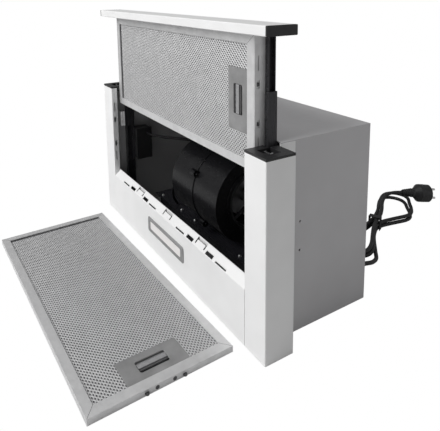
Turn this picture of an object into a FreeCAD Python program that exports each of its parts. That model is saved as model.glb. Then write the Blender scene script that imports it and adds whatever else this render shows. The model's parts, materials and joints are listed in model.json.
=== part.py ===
"""A 60 cm slide-out cooker hood, stood on its wall-side face with the drawer raised.

One of its two grease filters is taken out and lies on the floor in front of it.
Millimetres. X runs across the hood, Y from the intake face to the back, Z up.
The origin is on the floor, in the middle of the intake face.
"""
import FreeCAD, Part
import math
import os
import Sketcher

V = FreeCAD.Vector
X, Y, Z = V(1, 0, 0), V(0, 1, 0), V(0, 0, 1)

# ---------------------------------------------------------------- driving sizes
SIZES = {
    "hood_width": 600.0,
    # grey motor box
    "box_width": 536.0,
    "box_height": 292.0,
    "box_back": 225.0,
    "box_front": 51.0,
    "box_sheet": 1.2,
    "wall_front": 16.0,
    "guide_front": 20.5,
    "guide_width": 7.5,
    "guide_height": 32.0,
    "guide_middle": 213.0,
    "side_hole_radius": 2.0,
    "side_hole_y": 86.0,
    "side_hole_low": 126.0,
    "side_hole_pitch": 44.0,
    # white posts either side of the opening
    "post_width": 48.0,
    "post_depth": 48.0,
    "post_sheet": 1.2,
    "post_bend": 1.6,
    "lip_depth": 12.0,
    "flange_reach": 26.0,
    "cap_drop": 4.0,
    "cap_plate": 3.5,
    "cap_skirt": 8.0,
    "cap_skirt_wall": 1.5,
    "cap_gap": 0.3,
    "well_length": 24.0,
    "well_width": 22.0,
    "well_depth": 10.0,
    "well_wall": 1.2,
    "well_inset": 12.0,
    # lower panel with its sloping ledge
    "crease_height": 86.0,
    "ledge_rise": 12.0,
    "ledge_hem": 8.0,
    "panel_sheet": 1.0,
    # slots that take the filters' tabs and bolts
    "slot_group_pitch": 122.0,
    "slot_thin": 2.2,
    "slot_thick": 4.6,
    "lip_slot_rise": 101.0,
    "bolt_offset": 27.0,
    "tab_offset": 55.5,
    "bolt_slot_length": 11.0,
    "tab_slot_length": 19.5,
    # drawer
    "drawer_travel": 151.5,
    "shut_gap": 0.5,
    "drawer_width": 502.0,
    "drawer_front": 18.0,
    "drawer_back": 47.0,
    "drawer_sill_gap": 1.5,
    "drawer_sheet": 1.0,
    # front bar
    "bar_height": 13.5,
    "bar_depth": 48.0,
    "bar_wall": 1.5,
    "bar_round": 1.5,
    "bar_end": 3.0,
    # telescopic slides
    "slide_front": 32.0,
    "slide_width": 18.0,
    "slide_stock": 1.2,
    "slide_gap": 0.4,
    "slide_depth": 11.0,
    "outer_bottom": 20.0,
    "bracket_height": 16.0,
    "outer_length": 262.0,
    "middle_length": 250.0,
    "middle_reach": 74.0,
    "inner_length": 244.0,
    # filters
    "filter_length": 499.0,
    "filter_play": 0.5,
    "loose_filter_height": 207.0,
    "filter_thick": 9.0,
    "filter_border": 13.0,
    "filter_end_border": 16.0,
    "filter_wall": 1.0,
    "mesh_sheet": 0.8,
    "handle_width": 47.0,
    "handle_length": 90.0,
    "handle_gap": 0.2,
    "recess_width": 21.0,
    "recess_length": 43.0,
    "bolt_width": 5.0,
    "bolt_thick": 2.4,
    "bolt_proud": 3.6,
    "latch_travel": 5.0,
    "rivet_radius": 2.2,
    "rivet_proud": 0.4,
    "rivet_offset": 12.5,
    "loose_x": 7.0,
    "loose_y": -131.7,
    "loose_turn": 1.9,
    # lamp
    "lamp_width": 145.0,
    "lamp_height": 30.0,
    "lamp_middle": 48.5,
    "lamp_border": 8.0,
    "lamp_proud": 1.5,
    "lamp_box_depth": 32.0,
    "lens_thick": 2.0,
    "lamp_round": 6.0,
    "lamp_shell": 1.0,
    "tube_radius": 6.5,
    "tube_behind": 18.0,
    "socket_length": 14.0,
    "socket_width": 16.0,
    "socket_front": 8.0,
    # blower
    "seam_x": 8.0,
    "scroll_half": 82.0,
    "scroll_radius": 80.0,
    "scroll_return": 74.0,
    "scroll_wall": 2.5,
    "axis_y": 134.0,
    "axis_z": 124.0,
    "duct_sill": 104.0,
    "inlet_radius": 52.0,
    "lug_radius": 6.5,
    "lug_half": 7.0,
    "screw_radius": 2.0,
    "screw_head": 3.8,
    "wheel_radius": 60.0,
    "blade_depth": 12.0,
    "blade_stock": 1.2,
    "wheel_row": 64.0,
    "wheel_disc": 2.0,
    "wheel_rim": 3.0,
    "shaft_radius": 4.0,
    "shaft_play": 0.05,
    "hub_radius": 12.0,
    "motor_radius": 38.0,
    "motor_length": 52.0,
    "plate_height": 38.5,
    "plate_sheet": 1.5,
    "plate_front": 80.0,
    "plate_left": 215.0,
    "plate_right": 235.0,
    "plate_screw_1": 25.0,
    "plate_screw_2": 114.0,
    "plate_screw_3": 170.0,
    "plate_screw_4": 328.0,
    "plate_screw_inset": 8.0,
    "plate_screw_radius": 3.6,
    # outlet
    "outlet_radius": 50.0,
    "outlet_wall": 2.0,
    "outlet_length": 36.0,
    "outlet_flange": 13.0,
    "flap_sheet": 1.2,
    "flap_gap": 0.8,
    "flap_setback": 12.0,
    "flap_pin": 1.5,
    # electrics
    "switch_length": 19.0,
    "switch_width": 6.4,
    "switch_height": 7.0,
    "lever_length": 17.0,
    "lever_stock": 0.5,
    "control_depth": 31.0,
    "control_width": 33.0,
    "control_height": 68.0,
    "control_front": 50.0,
    "control_bottom": 120.0,
    "cord_radius": 3.75,
    "hank_gap": 1.1,
    "gland_x": 224.0,
    "gland_z": 22.0,
    "gland_reach": 30.0,
    "gland_flange": 10.0,
    "wire_radius": 2.6,
    "wire_inset": 22.0,
    "wire_high": 58.0,
    "wire_entry_front": 14.0,
    "wire_entry_high": 62.0,
    "wire_loop_front": 61.0,
    "wire_loop_back": 19.0,
    "wire_loop_out": 55.0,
    "wire_loop_drop": 20.0,
    "plug_radius": 20.0,
    "plug_length": 40.0,
    "pin_radius": 2.4,
    "pin_length": 19.0,
    "pin_pitch": 19.0,
    "screw_dome": 1.6,
}
BLADES = 30
SPIDER_ARMS = 3
HANK_TURNS = 2

doc = FreeCAD.newDocument("SlideOutHood")
sheet = doc.addObject("Spreadsheet::Sheet", "Sizes")


class Size:
    """A number that remembers the expression of spreadsheet cells it comes from."""

    def __init__(self, text, value):
        self.text, self.value = text, value

    def join(self, sign, other, value):
        return Size(f"({self.text} {sign} {wrap(other).text})", value)

    def __add__(self, other):
        return self.join("+", other, self.value + wrap(other).value)

    def __sub__(self, other):
        return self.join("-", other, self.value - wrap(other).value)

    def __mul__(self, other):
        return self.join("*", other, self.value * wrap(other).value)

    def __truediv__(self, other):
        return self.join("/", other, self.value / wrap(other).value)

    def __radd__(self, other):
        return wrap(other) + self

    def __rsub__(self, other):
        return wrap(other) - self

    def __rmul__(self, other):
        return wrap(other) * self

    def __neg__(self):
        return Size(f"(-{self.text})", -self.value)

    def __float__(self):
        return float(self.value)


def wrap(number):
    return number if isinstance(number, Size) else Size(repr(float(number)), float(number))


for row, (alias, number) in enumerate(SIZES.items(), start=1):
    sheet.set(f"A{row}", alias)
    sheet.set(f"B{row}", str(number))
    sheet.setAlias(f"B{row}", alias)
doc.recompute()


class Cells:
    """Gives each spreadsheet alias as a Size: s.box_height and so on."""

    def __getattr__(self, alias):
        return Size(f"Sizes.{alias}", float(SIZES[alias]))


s = Cells()
nodes = []


# ---------------------------------------------------------------- small makers
def bind(obj, prop, size):
    obj.setExpression(prop, wrap(size).text)


def place(obj, x=0, y=0, z=0):
    for axis, size in zip("xyz", (x, y, z)):
        bind(obj, f"Placement.Base.{axis}", size)


def block(name, x, y, z):
    """A box between two corners, given as (low, high) pairs."""
    obj = doc.addObject("Part::Box", name)
    for prop, (low, high) in zip(("Length", "Width", "Height"), (x, y, z)):
        bind(obj, prop, wrap(high) - low)
    place(obj, x[0], y[0], z[0])
    return obj


def rod(name, axis, start, radius, length):
    """A cylinder from start along the X, Y or Z axis."""
    obj = doc.addObject("Part::Cylinder", name)
    bind(obj, "Radius", radius)
    bind(obj, "Height", length)
    turn = {"X": FreeCAD.Rotation(Y, 90), "Y": FreeCAD.Rotation(X, -90), "Z": FreeCAD.Rotation()}
    obj.Placement = FreeCAD.Placement(V(), turn[axis])
    place(obj, *start)
    return obj


def fuse(name, *items):
    obj = doc.addObject("Part::MultiFuse", name)
    obj.Shapes = list(items)
    return obj


def cut(name, base, *tools):
    obj = doc.addObject("Part::Cut", name)
    obj.Base = base
    obj.Tool = tools[0] if len(tools) == 1 else fuse(name + "_tools", *tools)
    return obj


def group(name, *items):
    """Several equal pieces that share one node."""
    obj = doc.addObject("Part::Compound", name)
    obj.Links = list(items)
    return obj


def solid(name, shape, placement=None):
    """A piece whose form comes from code: its Shape first, then its Placement."""
    obj = doc.addObject("Part::Feature", name)
    obj.Shape = shape
    if placement:
        obj.Placement = placement
    return obj


def node(name, obj):
    obj.Label = name
    nodes.append((name, obj))
    return obj


def pair(side, low, high):
    """An X range on the right-hand side (side 1) or its mirror image (side -1)."""
    return (side * wrap(low), side * wrap(high)) if side > 0 else (-wrap(high), -wrap(low))


def hand(side):
    return "right" if side > 0 else "left"


def profile(name, plane, points, length, start=0):
    """A body padded from a closed outline whose every corner is bound to the sheet."""
    body = doc.addObject("PartDesign::Body", name)
    sketch = body.newObject("Sketcher::SketchObject", name + "_sketch")
    sketch.AttachmentSupport = [(next(f for f in body.Origin.OriginFeatures if f.Role == plane), "")]
    sketch.MapMode = "FlatFace"
    corners = [(wrap(a), wrap(b)) for a, b in points]
    for i, (a, b) in enumerate(corners):
        c, d = corners[(i + 1) % len(corners)]
        sketch.addGeometry(Part.LineSegment(V(a.value, b.value, 0), V(c.value, d.value, 0)), False)
    for i in range(len(corners)):
        sketch.addConstraint(Sketcher.Constraint("Coincident", i, 2, (i + 1) % len(corners), 1))
    for i, corner in enumerate(corners):
        for kind, size in zip(("DistanceX", "DistanceY"), corner):
            number = sketch.addConstraint(Sketcher.Constraint(kind, -1, 1, i, 1, size.value))
            sketch.setExpression(f"Constraints[{number}]", size.text)
    pad = body.newObject("PartDesign::Pad", name + "_pad")
    pad.Profile = sketch
    bind(pad, "Length", length)
    body.Tip = pad
    axis = {"XY_Plane": "z", "XZ_Plane": "y", "YZ_Plane": "x"}[plane]
    bind(body, f"Placement.Base.{axis}", start)
    return body


def round_edges(body, name, radius, wanted):
    """Rounds the edges of a body's solid that pass the test."""
    doc.recompute()
    tip = body.Tip
    edges = [f"Edge{i}" for i, e in enumerate(tip.Shape.Edges, start=1) if wanted(e)]
    fillet = body.newObject("PartDesign::Fillet", name)
    fillet.Base = (tip, edges)
    bind(fillet, "Radius", radius)
    body.Tip = fillet
    return body


def along(edge, axis):
    """True for a straight edge that runs along an axis."""
    if edge.Curve.TypeId != "Part::GeomLine":
        return False
    return abs(abs(edge.tangentAt(edge.FirstParameter).dot(axis)) - 1) < 1e-6


# ---------------------------------------------------------------- sizes that follow
half_hood = s.hood_width / 2
half_box = s.box_width / 2
opening = half_hood - s.post_width
cap_top = s.box_height - s.cap_drop
post_top = cap_top - s.cap_plate
half_drawer = s.drawer_width / 2
bar_bottom = cap_top + s.shut_gap + s.drawer_travel
ledge_top = s.crease_height + s.ledge_rise
drawer_bottom = ledge_top + s.drawer_sill_gap + s.drawer_travel
slide_back = s.slide_front + s.slide_width
shelf_top = s.plate_height + s.plate_sheet
outlet_z = (s.duct_sill + s.axis_z + s.scroll_radius) / 2
bolt_low = s.filter_wall + s.mesh_sheet + 0.6
drawer_filter_height = bar_bottom - s.drawer_sheet - drawer_bottom - 2 * s.filter_play
drawer_filter_middle = drawer_bottom + s.filter_play + drawer_filter_height / 2


# ---------------------------------------------------------------- sheet-metal body
def motor_box():
    """Grey box: open in front, with the outlet, the lead and the screw holes in its walls."""
    shell = block("box_shell", (-half_box, half_box), (s.wall_front, s.box_back), (0, s.box_height))
    t = s.box_sheet
    inside = block(
        "box_inside", (t - half_box, half_box - t), (s.wall_front - t, s.box_back - t),
        (t, s.box_height - t),
    )
    front = block(
        "box_front_gap", (t - half_box, half_box - t), (s.wall_front - t, s.box_front),
        (-t, s.box_height + t),
    )
    step = [
        block(
            f"box_step_{hand(side)}", pair(side, half_box - 2 * t, half_box + t),
            (s.wall_front - t, s.post_depth), (post_top - s.cap_skirt - t, s.box_height + t),
        )
        for side in (-1, 1)
    ]
    outlet = rod(
        "box_outlet", "Y", (s.seam_x, s.box_back - 2 * t, outlet_z),
        s.outlet_radius - s.outlet_wall, 3 * t,
    )
    lead = rod("box_lead_hole", "Y", (s.gland_x, s.box_back - 2 * t, s.gland_z), s.cord_radius + 2, 3 * t)
    holes = [
        rod(
            f"box_side_hole_{i}", "X", (-half_box - t, s.side_hole_y, s.side_hole_low + i * s.side_hole_pitch),
            s.side_hole_radius, s.box_width + 2 * t,
        )
        for i in range(2)
    ]
    node("motor_box", cut("motor_box", shell, inside, front, outlet, lead, *step, *holes))


def slot_boxes(name, side, wall, y, middle):
    """The two bolt slots and two tab slots that one filter end needs, through an upright wall."""
    made = []
    for up in (-1, 1):
        for kind, offset, length, width in (
            ("bolt", s.bolt_offset, s.bolt_slot_length, s.slot_thick),
            ("tab", s.tab_offset, s.tab_slot_length, s.slot_thin),
        ):
            centre = middle + up * offset
            made.append(block(
                f"{name}_{kind}_{'up' if up > 0 else 'low'}", pair(side, wall - 3, wall + 3),
                (y - width / 2, y + width / 2), (centre - length / 2, centre + length / 2),
            ))
    return made


def post(side):
    """White folded channel with a slotted inner lip and a rear flange along the box."""
    t = s.post_sheet
    inner, outer = opening, half_hood
    outline = [
        (inner, s.lip_depth), (inner, 0), (outer, 0), (outer, s.post_depth),
        (half_box, s.post_depth), (half_box, s.post_depth - t), (outer - t, s.post_depth - t),
        (outer - t, t), (inner + t, t), (inner + t, s.lip_depth),
    ]
    name = f"post_{hand(side)}"
    channel = profile(name + "_channel", "XY_Plane", [(side * x, y) for x, y in outline], post_top)
    round_edges(
        channel, name + "_bends", s.post_bend,
        lambda e: along(e, Z) and abs(e.BoundBox.YMin) < 1e-6,
    )
    flange = block(
        name + "_flange", pair(side, half_box, half_box + t),
        (s.post_depth, s.post_depth + s.flange_reach), (0, s.box_height - t),
    )
    foot = block(
        name + "_foot", pair(side, half_box + t, outer - t), (t, s.post_depth - t), (0, t),
    )
    slots = slot_boxes(name, side, inner, s.lip_depth / 2, s.crease_height + s.lip_slot_rise)
    node(name, cut(name, fuse(name + "_sheet", channel, flange, foot), *slots))


def cap(side):
    """Black moulding that closes a post: a plate with a switch well and a notch for the slide."""
    name = f"cap_{hand(side)}"
    t = s.post_sheet + s.cap_gap
    inner, outer = opening, half_hood
    well_left = outer - s.well_inset - s.well_length
    well_front = (s.post_depth - s.well_width) / 2 - s.well_wall
    plate = block(name + "_plate", pair(side, inner, outer), (0, s.post_depth), (post_top, cap_top))
    skirt = block(
        name + "_skirt", pair(side, inner + t, outer - t), (t, s.post_depth - t),
        (post_top - s.cap_skirt, post_top),
    )
    w = s.cap_skirt_wall
    hollow = block(
        name + "_hollow", pair(side, inner + t + w, outer - t - w), (t + w, s.post_depth - t - w),
        (post_top - s.cap_skirt - 1, post_top),
    )
    wall = s.well_wall
    well = block(
        name + "_well", pair(side, well_left - wall, well_left + s.well_length + wall),
        (well_front - wall, well_front + s.well_width + wall),
        (cap_top - s.well_depth - wall, post_top),
    )
    pocket = block(
        name + "_pocket", pair(side, well_left, well_left + s.well_length),
        (well_front, well_front + s.well_width), (cap_top - s.well_depth, cap_top + 1),
    )
    notch = block(
        name + "_notch", pair(side, inner - 1, half_drawer + s.slide_depth + 1.5),
        (s.slide_front - 1.5, s.post_depth + 1), (post_top - s.cap_skirt - 1, cap_top + 1),
    )
    ring = cut(name + "_ring", skirt, hollow)
    node(name, cut(name, fuse(name + "_body", plate, ring, well), pocket, notch))
    return well_left, well_front


def switch(side, well_left, well_front):
    """Snap switch in a cap's well, with the sprung lever that the closing bar would press."""
    name = f"switch_{hand(side)}"
    floor = cap_top - s.well_depth
    left = well_left + (s.well_length - s.switch_length) / 2
    front = well_front + (s.well_width - s.switch_width) / 2
    body = block(
        name + "_case", pair(side, left, left + s.switch_length), (front, front + s.switch_width),
        (floor, floor + s.switch_height - 1),
    )
    ears = [
        block(
            f"{name}_ear_{i}", pair(side, left, left + 1.6),
            (front + i * (s.switch_width - 1.4), front + 1.4 + i * (s.switch_width - 1.4)),
            (floor + s.switch_height - 1, floor + s.switch_height + 0.8),
        )
        for i in range(2)
    ]
    low = floor + s.switch_height
    strip = block(
        name + "_strip", pair(side, left + 0.3, left + 0.3 + s.lever_length),
        (front + 1.8, front + s.switch_width - 1.8), (low, low + s.lever_stock),
    )
    roller = rod(
        name + "_roller", "Y",
        (side * (left + s.lever_length - 1.2), front + 1.8, low + s.lever_stock + 1.1),
        1.2, s.switch_width - 3.6,
    )
    pivot = rod(
        name + "_pivot", "Y", (side * (left + 0.8), front + 1.8, low + s.lever_stock / 2),
        s.lever_stock, s.switch_width - 3.6,
    )
    node(f"switch_lever_{hand(side)}", fuse(f"switch_lever_{hand(side)}", strip, roller, pivot))
    return fuse(name, body, *ears)


def front_panel():
    """White lower panel: bottom flange, face, sloping slotted ledge and its hem."""
    t, edge = s.panel_sheet, opening
    rise, crease = s.ledge_rise, s.crease_height
    outline = [
        (0, 0), (0, crease), (rise, crease + rise), (rise + t, crease + rise),
        (rise + t, crease + rise - s.ledge_hem), (rise, crease + rise - s.ledge_hem),
        (rise, crease + rise - t), (t, crease - t), (t, t), (s.box_front, t), (s.box_front, 0),
    ]
    panel = profile("panel_sheet", "YZ_Plane", outline, 2 * edge, start=-edge)
    lamp_hole = block(
        "panel_lamp_hole", (s.lamp_border - s.lamp_width / 2, s.lamp_width / 2 - s.lamp_border),
        (-t, 2 * t),
        (s.lamp_middle - s.lamp_height / 2 + s.lamp_border / 2,
         s.lamp_middle + s.lamp_height / 2 - s.lamp_border / 2),
    )
    cuts = [lamp_hole]
    tall = s.crease_height
    for i in (-1, 0, 1):
        centre = i * s.slot_group_pitch
        cuts += spring_tab(f"panel_tab_{i + 1}", centre)
        if i == 0:
            continue
        for way in (-1, 1):
            for kind, near, length, width in (
                ("bolt", 21.0, 21.0, s.slot_thick), ("tab", 50.5, 30.0, s.slot_thin),
            ):
                low = centre + (near if way > 0 else -near - length)
                cuts.append(block(
                    f"panel_{kind}_{i + 1}_{way + 1}", (low, low + length),
                    (1.0, 1.0 + width), (tall - 2, tall + width + 2),
                ))
    node("front_panel", cut("front_panel", panel, *cuts))


def spring_tab(name, centre):
    """Three thin cuts that leave a sprung tongue in the ledge."""
    rise, crease = s.ledge_rise, s.crease_height
    low, high = crease + 0.25 * rise, crease + 0.8 * rise
    front, back = 0.25 * rise, 0.8 * rise
    half = 15.0
    made = [block(
        name + "_top", (centre - half, centre + half), (back - 1.6, back + 2.2),
        (high - 2.2, high + 1.4),
    )]
    for i, x in enumerate((centre - half, centre + half - 3)):
        for step in range(3):
            made.append(block(
                f"{name}_leg_{i}_{step}", (x, x + 3),
                (front + step * 2.2, front + step * 2.2 + 2.6),
                (low + step * 2.2 - 1.6, low + step * 2.2 + 2.2),
            ))
    return made


# ---------------------------------------------------------------- slides and drawer
def channel(name, side, back_x, mouth_x, front, back, stock, bottom, length):
    """A folded slide member: a web at back_x and two lips that reach to mouth_x."""
    step = stock if mouth_x.value > back_x.value else -stock
    outline = [
        (mouth_x, front), (back_x, front), (back_x, back), (mouth_x, back),
        (mouth_x, back - stock), (back_x + step, back - stock),
        (back_x + step, front + stock), (mouth_x, front + stock),
    ]
    return profile(name, "XY_Plane", [(side * x, y) for x, y in outline], length, start=bottom)


def slide(side):
    """Three-part telescopic slide between the box and the drawer, drawn out."""
    word, stock, gap = hand(side), s.slide_stock, s.slide_gap
    face = half_drawer
    outer_web = face + s.slide_depth
    middle_web = outer_web - stock - gap
    inner_mouth = middle_web - stock - gap
    front, back = s.slide_front, slide_back
    step = stock + gap
    node(f"slide_outer_{word}", channel(
        f"slide_outer_{word}", side, outer_web, face + 2, front, back, stock,
        s.outer_bottom, s.outer_length,
    ))
    middle_bottom = cap_top + s.middle_reach - s.middle_length
    node(f"slide_middle_{word}", channel(
        f"slide_middle_{word}", side, middle_web, face + 1.8, front + step, back - step, stock,
        middle_bottom, s.middle_length,
    ))
    node(f"slide_inner_{word}", channel(
        f"slide_inner_{word}", side, face, inner_mouth, front + 2 * step, back - 2 * step, stock,
        bar_bottom - s.inner_length, s.inner_length,
    ))
    wall = half_box - s.box_sheet
    tall = s.bracket_height
    brackets = []
    for i in range(3):
        low = s.outer_bottom + s.outer_length * ((2 * i + 1) / 6) - tall / 2
        brackets.append(block(
            f"slide_bracket_{word}_{i}", pair(side, outer_web, wall),
            (front + 3, back - 3), (low, low + tall),
        ))
    return brackets


def guides():
    """White sliding blocks on the box walls; a groove in each lets the filter's bolts past."""
    blocks = []
    for side in (-1, 1):
        inner = half_drawer + s.slide_gap
        height = (s.guide_middle - s.guide_height / 2, s.guide_middle + s.guide_height / 2)
        bolt_back = s.drawer_front + s.filter_thick - bolt_low
        body = block(
            f"guide_body_{hand(side)}", pair(side, inner, half_box - s.box_sheet),
            (s.guide_front, s.guide_front + s.guide_width), height,
        )
        groove = block(
            f"guide_groove_{hand(side)}", pair(side, inner - 1, half_drawer + s.bolt_proud),
            (bolt_back - s.bolt_thick - 0.6, bolt_back + 0.6), (height[0] - 1, height[1] + 1),
        )
        blocks.append(cut(f"guide_{hand(side)}", body, groove))
    node("drawer_guides", group("drawer_guides", *blocks))


def drawer():
    """Folded drawer: slotted side walls, a back wall and a flange screwed under the bar."""
    t, half = s.drawer_sheet, half_drawer
    front, back = s.drawer_front, s.drawer_back
    outline = [
        (-half, front), (-half, back), (half, back), (half, front), (half - t, front),
        (half - t, back - t), (t - half, back - t), (t - half, front),
    ]
    height = bar_bottom - drawer_bottom
    tray = profile("drawer_tray", "XY_Plane", outline, height, start=drawer_bottom)
    flange = block(
        "drawer_flange", (t - half, half - t), (front + 0.2 * (back - front), back - t),
        (bar_bottom - t, bar_bottom),
    )
    slots = []
    for side in (-1, 1):
        slots += slot_boxes(
            f"drawer_{hand(side)}", side, half - t / 2, front + s.filter_thick - s.mesh_sheet - s.slot_thin,
            drawer_filter_middle,
        )
    node("drawer_frame", cut("drawer_frame", fuse("drawer_sheet_metal", tray, flange), *slots))


def front_bar():
    """White hollow bar across the drawer's front, closed by black end caps."""
    depth, height, w = s.bar_depth, s.bar_height, s.bar_wall
    half = half_hood - s.bar_end
    outline = [(0, 0), (depth, 0), (depth, height), (0, height)]
    bar = profile("bar_tube", "YZ_Plane", outline, 2 * half, start=-half)
    round_edges(bar, "bar_rounds", s.bar_round, lambda e: along(e, X))
    place(bar, -half, 0, bar_bottom)
    third = (depth - 4 * w) / 3
    chambers = [
        block(
            f"bar_chamber_{i}", (-half_hood, half_hood),
            (w + i * (third + w), w + i * (third + w) + third),
            (bar_bottom + w, bar_bottom + height - w),
        )
        for i in range(3)
    ]
    node("front_bar", cut("front_bar", bar, *chambers))
    ends = []
    for side in (-1, 1):
        name = f"bar_end_{hand(side)}"
        end = profile(name + "_plate", "YZ_Plane", outline, s.bar_end)
        round_edges(end, name + "_rounds", s.bar_round, lambda e: along(e, X))
        x = half if side > 0 else -half_hood
        place(end, x, 0, bar_bottom)
        plug = block(
            name + "_plug", pair(side, half - 9, half),
            (w + 0.2, w + third - 0.2), (bar_bottom + w + 0.2, bar_bottom + height - w - 0.2),
        )
        ends.append(fuse(name, end, plug))
    node("bar_ends", group("bar_ends", *ends))


# ---------------------------------------------------------------- filters
def grease_filter(tag, height, placement):
    """A framed filter: riveted frame, three mesh layers, handle plate and latch.

    It is drawn lying on its back, with its length along X and its handle end at +X.
    """
    length, thick, border, wall = s.filter_length, s.filter_thick, s.filter_border, s.filter_wall
    half_l, half_w = length / 2, height / 2
    groove = border - wall - 1
    layer = s.mesh_sheet
    core_low, core_high = wall + layer, thick - 2 * wall - layer
    handle_in = half_l - s.filter_end_border - s.handle_gap - s.handle_width
    recess_x = handle_in + s.handle_width / 2
    bolt_high = bolt_low + s.bolt_thick
    latch_left = recess_x - s.recess_width / 2 - 3

    def piece(name, obj):
        obj.Placement = placement
        node(name, obj)

    def layer_box(name, z, inset):
        return block(
            name, (inset - half_l, half_l - inset), (inset - half_w, half_w - inset), z,
        )

    # frame: a grooved ring with bolt slots and two rivets
    name = f"filter_frame_{tag}"
    ring = layer_box(name + "_bar", (0, thick), 0)
    window = block(
        name + "_window", (border - half_l, half_l - s.filter_end_border),
        (border - half_w, half_w - border), (-1, thick + 1),
    )
    channel_cut = layer_box(name + "_groove", (wall, thick - 2 * wall), border - groove)
    bolt_slots = [
        block(
            f"{name}_slot_{way + 1}", (half_l - s.filter_end_border - 1, half_l + 1),
            (way * s.bolt_offset - s.bolt_width / 2 - 0.4, way * s.bolt_offset + s.bolt_width / 2 + 0.4),
            (bolt_low - 0.4, bolt_high + 0.4),
        )
        for way in (-1, 1)
    ]
    rivets = [
        rod(
            f"{name}_rivet_{way + 1}", "X", (half_l - wall, way * s.rivet_offset, thick / 2),
            s.rivet_radius, wall + s.rivet_proud,
        )
        for way in (-1, 1)
    ]
    bare = cut(name + "_ring", ring, window, channel_cut, *bolt_slots)
    piece(name, fuse(name, bare, *rivets))

    # layers: the latch and its bolts run in a gap cut through the core
    inset = border - groove + 0.3
    piece(f"mesh_front_{tag}", cut(
        f"mesh_front_{tag}", layer_box(f"mesh_front_{tag}_sheet", (core_high, core_high + layer), inset),
        block(
            f"mesh_front_{tag}_hole", (recess_x - s.recess_width / 2 - 1, recess_x + s.recess_width / 2 + 1),
            (-s.recess_length / 2 - 1, s.recess_length / 2 + 1), (core_low, thick),
        ),
    ))
    piece(f"mesh_core_{tag}", cut(
        f"mesh_core_{tag}", layer_box(f"mesh_core_{tag}_pack", (core_low + 0.3, core_high - 0.3), inset + 1),
        block(
            f"mesh_core_{tag}_gap", (latch_left - s.latch_travel - 2, half_l),
            (-s.bolt_offset - s.bolt_width, s.bolt_offset + s.bolt_width), (0, thick),
        ),
    ))
    piece(f"mesh_back_{tag}", group(
        f"mesh_back_{tag}", layer_box(f"mesh_back_{tag}_sheet", (wall, wall + layer), inset),
    ))

    # handle plate with its finger recess
    name = f"handle_{tag}"
    top = core_high + layer
    plate = block(
        name + "_plate", (handle_in, handle_in + s.handle_width),
        (-s.handle_length / 2, s.handle_length / 2), (top, top + wall),
    )
    collar = block(
        name + "_collar", (recess_x - s.recess_width / 2 - 0.7, recess_x + s.recess_width / 2 + 0.7),
        (-s.recess_length / 2 - 0.7, s.recess_length / 2 + 0.7), (bolt_high + 0.4, top),
    )
    hole = block(
        name + "_hole", (recess_x - s.recess_width / 2, recess_x + s.recess_width / 2),
        (-s.recess_length / 2, s.recess_length / 2), (0, thick + 1),
    )
    piece(name, cut(name, fuse(name + "_body", plate, collar), hole))

    # latch: a finger pad and a plate that draws both bolts in together
    name = f"latch_{tag}"
    pad_right = recess_x + 0.1 * s.recess_width
    base = block(
        name + "_base", (latch_left, recess_x + 0.15 * s.recess_width),
        (-s.bolt_offset - s.bolt_width / 2, s.bolt_offset + s.bolt_width / 2), (bolt_low, bolt_high),
    )
    pad = block(
        name + "_pad", (recess_x - s.recess_width / 2 + s.latch_travel + 0.3, pad_right),
        (0.5 - s.recess_length / 2, s.recess_length / 2 - 0.5), (bolt_high, top + 0.4),
    )
    nose = half_l + s.bolt_proud - s.bolt_width / 2
    bolts = []
    for way in (-1, 1):
        bolts.append(block(
            f"{name}_bolt_{way + 1}", (latch_left, nose),
            (way * s.bolt_offset - s.bolt_width / 2, way * s.bolt_offset + s.bolt_width / 2),
            (bolt_low, bolt_high),
        ))
        bolts.append(rod(
            f"{name}_nose_{way + 1}", "Z", (nose, way * s.bolt_offset, bolt_low),
            s.bolt_width / 2, s.bolt_thick,
        ))
    piece(name, fuse(name, base, pad, *bolts))


def filters():
    drawer_spot = FreeCAD.Placement(
        V(0, float(s.drawer_front + s.filter_thick), float(drawer_filter_middle)),
        FreeCAD.Rotation(X, 90),
    )
    grease_filter("drawer", drawer_filter_height, drawer_spot)
    floor_spot = FreeCAD.Placement(
        V(float(s.loose_x), float(s.loose_y), 0), FreeCAD.Rotation(Z, float(s.loose_turn)),
    )
    grease_filter("loose", s.loose_filter_height, floor_spot)


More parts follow.
